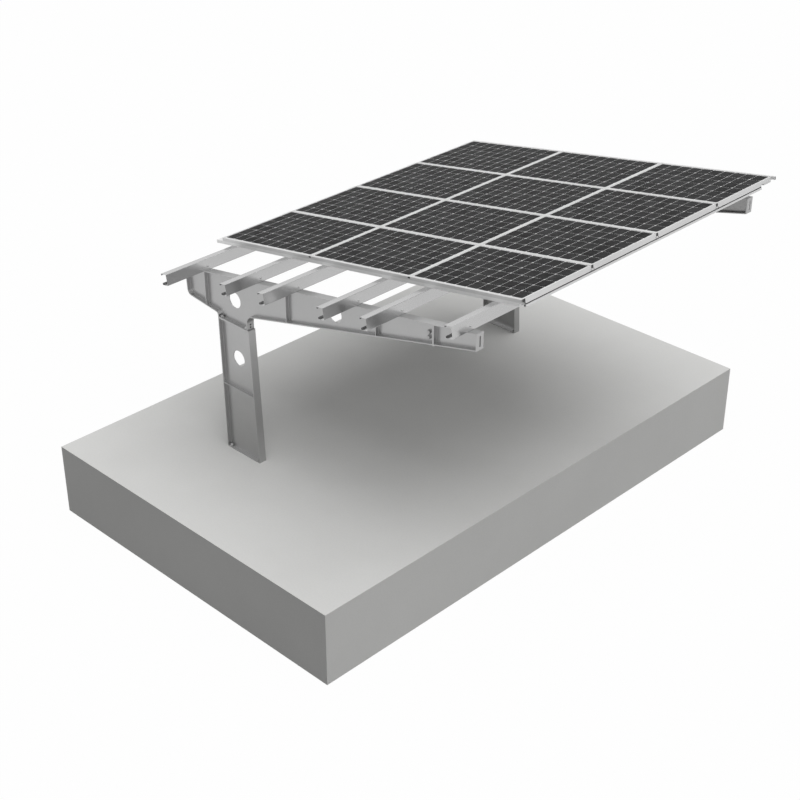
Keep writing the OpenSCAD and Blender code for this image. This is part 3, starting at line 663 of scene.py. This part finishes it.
def weldBeads(nodeName, w):
    mesh = mergedMesh(nodeName)
    parts = []
    for edge in mesh.edges:
        if len(edge.link_faces) != 2 or edge.calc_length() < w["shortest"]:
            continue
        if edge.calc_face_angle_signed(0) > -math.radians(w["inward"]):
            continue
        web, plateSide = sorted((f.normal.copy() for f in edge.link_faces), key=lambda n: -abs(n.y))
        if abs(web.y) > w["web"] and abs(plateSide.y) < w["plate"]:
            a, b = (v.co.copy() for v in edge.verts)
            parts.append(weldBead(a, b, web, plateSide, w))
    mesh.free()
    if parts:
        makePiece("welds_" + nodeName, *joined(parts), "weldSteel", "painted_steel", smooth=True)
    return len(parts)


for nodeName in members:
    print("weld beads on", nodeName, weldBeads(nodeName, weld))


def islands(nodeName):
    # the corners of each separate solid, with the direction that most of its surface faces
    mesh = mergedMesh(nodeName)
    found, reached = [], set()
    for first in mesh.verts:
        if first in reached:
            continue
        reached.add(first)
        group = [first]
        for v in group:                 # the group grows while it is walked through
            for e in v.link_edges:
                other = e.other_vert(v)
                if other not in reached:
                    reached.add(other)
                    group.append(other)
        areas = {}
        for f in dict.fromkeys(f for v in group for f in v.link_faces):
            key = tuple(round(abs(c), 2) for c in f.normal)
            total, normal = areas.get(key, (0, f.normal.copy()))
            areas[key] = (total + f.calc_area(), normal)
        axis = max(areas.values(), key=lambda pair: pair[0])[1]
        found.append(([v.co.copy() for v in group], axis))
    mesh.free()
    return found


# nuts with chamfered corners in place of the plain ones
nutShape = {"rimSteps": 4, "faceShare": 0.96, "chamferSlope": 30}


def nutRings(points, axis, shape):
    middle = sum(points, Vector()) / len(points)
    half = max((p - middle).dot(axis) for p in points)
    spread = [(p - middle) - axis * (p - middle).dot(axis) for p in points]
    outer = max(v.length for v in spread)
    bore = min(v.length for v in spread)
    corner = max(spread, key=lambda v: v.length).normalized()
    side = axis.cross(corner)
    sixth = math.radians(60)
    flat = outer * math.cos(sixth / 2)
    face = flat * shape["faceShare"]
    slope = math.tan(math.radians(shape["chamferSlope"]))
    steps = 6 * shape["rimSteps"]

    def rim(angle):
        return flat / math.cos(angle % sixth - sixth / 2)

    def drop(angle):
        return (rim(angle) - flat) * slope

    rings = [       # radius and height round the nut, from the bore over both faces and the rim
        (lambda a: bore, lambda a: -half),
        (lambda a: face, lambda a: -half),
        (rim, lambda a: -half + drop(a)),
        (rim, lambda a: half - drop(a)),
        (lambda a: face, lambda a: half),
        (lambda a: bore, lambda a: half),
    ]
    verts, faces = [], []
    for radiusAt, heightAt in rings:
        for k in range(steps):
            angle = 2 * math.pi * k / steps
            outward = corner * math.cos(angle) + side * math.sin(angle)
            verts.append(middle + axis * heightAt(angle) + outward * radiusAt(angle))
    for row in range(len(rings)):
        after = (row + 1) % len(rings)
        for k in range(steps):
            turn = (k + 1) % steps
            faces.append((row * steps + k, row * steps + turn, after * steps + turn, after * steps + k))
    return verts, faces


def chamferedNuts(nodeName, shape):
    parts = [nutRings(points, axis, shape) for points, axis in islands(nodeName)]
    piece = makePiece(nodeName + "_chamfered", *joined(parts), "zincSteel", "zinc_steel")
    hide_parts(nodeName)
    return len(parts)


for nodeName in ("large_nuts", "tip_nuts", "small_nuts"):
    print("nuts of", nodeName, chamferedNuts(nodeName, nutShape))


def turned(base, axis, profile, steps):
    # a round body about the axis, from pairs of distance and radius
    along = axis.orthogonal().normalized()
    across = axis.cross(along)
    verts, faces = [], []
    for distance, radius in profile:
        for k in range(steps):
            angle = 2 * math.pi * k / steps
            outward = along * math.cos(angle) + across * math.sin(angle)
            verts.append(base + axis * distance + outward * radius)
    for row in range(len(profile) - 1):
        for k in range(steps):
            a, b = row * steps + k, row * steps + (k + 1) % steps
            faces.append((a, b, b + steps, a + steps))
    faces.append(tuple(reversed(range(steps))))
    faces.append(tuple(range((len(profile) - 1) * steps, len(profile) * steps)))
    return verts, faces


# threads on the bolt ends that stand out of their nuts
thread = {
    "pitch": 0.0025,
    "depth": 0.0011,
    "steps": 24,
    "shown": 0.0075,
    "lift": 0.0002,         # how far the crests stand off the plain shank
    "rimDepth": 0.0005,     # corners this close to the end belong to its rim
    "rimCorners": 8,        # a round rim has more
    "headDepth": 0.002,
    "slack": 1.05,          # an end wider than the shank by more is a head
}
upward, sideways = Vector((0, 0, 1)), Vector((0, 1, 0))
threadedEnds = {
    "anchor_rods": [upward],
    "joint_bolts": [upward, -upward],
    "tip_bolts": [sideways, -sideways],
}


def threadProfile(radius, t):
    crest = radius + t["lift"]
    root = crest - t["depth"]
    profile = []
    for k in range(round(t["shown"] / t["pitch"])):
        bottom = -t["shown"] + k * t["pitch"]
        profile += [(bottom, root), (bottom + t["pitch"] / 2, crest)]
    return profile + [(t["lift"], root)]


def plainEnd(points, axis, t):
    # middle and radius of the round end on this side, or nothing where a head is
    end = max(p.dot(axis) for p in points)
    rim = [p for p in points if p.dot(axis) > end - t["rimDepth"]]
    middle = sum(rim, Vector()) / len(rim)
    radius = max((p - middle).length for p in rim)
    behind = [p for p in points if p.dot(axis) < end - t["headDepth"]]
    shank = min((p - middle).cross(axis).length for p in behind)
    if len(rim) > t["rimCorners"] and radius < shank * t["slack"]:
        return middle, radius
    return None


def threads(nodeName, directions, t):
    parts = []
    for points, _ in islands(nodeName):
        for axis in directions:
            found = plainEnd(points, axis, t)
            if found:
                middle, radius = found
                parts.append(turned(middle, axis, threadProfile(radius, t), t["steps"]))
    if parts:
        makePiece(nodeName + "_threads", *joined(parts), "zincSteel", "zinc_steel")
    return len(parts)


for nodeName, directions in threadedEnds.items():
    print("threads on", nodeName, threads(nodeName, directions, thread))

# plastic plugs at the ends of the cover strips, a black plate at the open corner that paints the shade of the
# hollow there, and a black rubber gasket in the fascia's groove that paints the groove's shade
plug = {"proud": 0.0025, "halfWidth": 0.017, "inset": 0.003, "drop": 0.020}
shadeGasket = {"foot": 0.029, "head": 0.037, "back": 0.0115, "front": 0.003}


def islandBoxes(nodeName):
    return [span(points) for points, _ in islands(nodeName)]


def stripPlugsAndCornerShade(p):
    proud, half, inset = p["proud"], p["halfWidth"], p["inset"]
    frameLow, frameHigh = roofBox("module_frame_11")
    parts = []
    for low, high in islandBoxes("row_strips"):
        y = (low[1] + high[1]) / 2
        for x0, x1 in ((low[0] - proud, low[0]), (high[0], high[0] + proud)):
            parts.append(block((x0, y - half, frameLow[2] + inset), (x1, y + half, frameHigh[2])))
    nearLow, nearHigh = roofBox("near_edge_profile")
    farSide = roofBox("far_edge_profile")[1][1]
    middles = {round((low[0] + high[0]) / 2, 4) for low, high in islandBoxes("column_strips")}
    for x in sorted(middles):
        for y0, y1 in ((nearLow[1] - proud, nearLow[1]), (farSide, farSide + proud)):
            parts.append(block((x - half, y0, nearHigh[2] - p["drop"]), (x + half, y1, nearHigh[2])))
    # the last plate closes the open corner at the near edge's high end in black plastic: painted shade
    # standing for the dark hollow there
    fasciaStart = roofBox("fascia")[0][1]
    parts.append(block((nearHigh[0], nearHigh[1], nearLow[2] + inset),
                       (nearHigh[0] + proud, fasciaStart - inset, nearHigh[2] - inset)))
    makePiece("strip_plugs_and_corner_shade", *joined(parts), "blackPlastic", "black_plastic")
    return len(parts)


# a black rubber strip in the fascia's groove: painted shade for the dark groove
def fasciaShadeGasket(g):
    low, high = roofBox("fascia")
    body = block((high[0] - g["back"], low[1], low[2] + g["foot"]),
                 (high[0] - g["front"], high[1], low[2] + g["head"]))
    makePiece("fascia_shade_gasket", *body, "rubber", "black_plastic")


print("strip plugs made:", stripPlugsAndCornerShade(plug))
fasciaShadeGasket(shadeGasket)
print("fascia gasket made")

# domed plugs in the earthing holes at the front of the rafters' necks
earthPlug = {
    "x": -0.457,
    "y": (-2.32, 2.63),
    "z": (2.914, 2.950),
    "radius": 0.0115,
    "dome": 0.004,
    "curve": ((0, 1), (0.4, 1), (0.8, 0.75), (1, 0.35)),    # shares of dome and radius
    "steps": 20,
}


def earthPlugs(e):
    forward = Vector((1, 0, 0))
    profile = [(e["dome"] * out, e["radius"] * wide) for out, wide in e["curve"]]
    places = [Vector((e["x"], y, z)) for y in e["y"] for z in e["z"]]
    parts = [turned(place, forward, profile, e["steps"]) for place in places]
    makePiece("earth_plugs", *joined(parts), "blackPlastic", "black_plastic")
    return len(parts)


print("earth plugs made:", earthPlugs(earthPlug))

# lids and cable glands on the junction boxes under the modules
boxLid = {"inset": 0.005, "thick": 0.002, "corner": 0.008}
gland = {
    "spread": 0.022,
    "radius": 0.0075,
    "collar": 0.0095,
    "collarLength": 0.005,
    "collarEdge": 0.001,
    "length": 0.020,
    "tipLength": 0.002,
    "tipShare": 0.7,
    "steps": 16,
}


def glandProfile(g):
    return [(0, g["collar"]), (g["collarLength"], g["collar"]),
            (g["collarLength"] + g["collarEdge"], g["radius"]),
            (g["length"] - g["tipLength"], g["radius"]),
            (g["length"], g["radius"] * g["tipShare"])]


def junctionDetails(lid, g):
    lids, glands = [], []
    inset = lid["inset"]
    for low, high in islandBoxes("junction_boxes"):
        outline = cutRectangle(low[0] + inset, low[1] + inset, high[0] - inset, high[1] - inset, lid["corner"])
        lids.append(plate(outline, low[2] - lid["thick"], low[2]))
        x, z = (low[0] + high[0]) / 2, (low[2] + high[2]) / 2
        for way in (-1, 1):
            base = fromRoof @ Vector((x + way * g["spread"], low[1], z))
            glands.append(turned(base, -sideways, glandProfile(g), g["steps"]))
    makePiece("junction_lids", *joined(lids), "blackPlastic", "black_plastic")
    makePiece("junction_glands", *joined(glands), "rubber", "black_plastic")
    return len(lids)


print("junction boxes detailed:", junctionDetails(boxLid, gland))
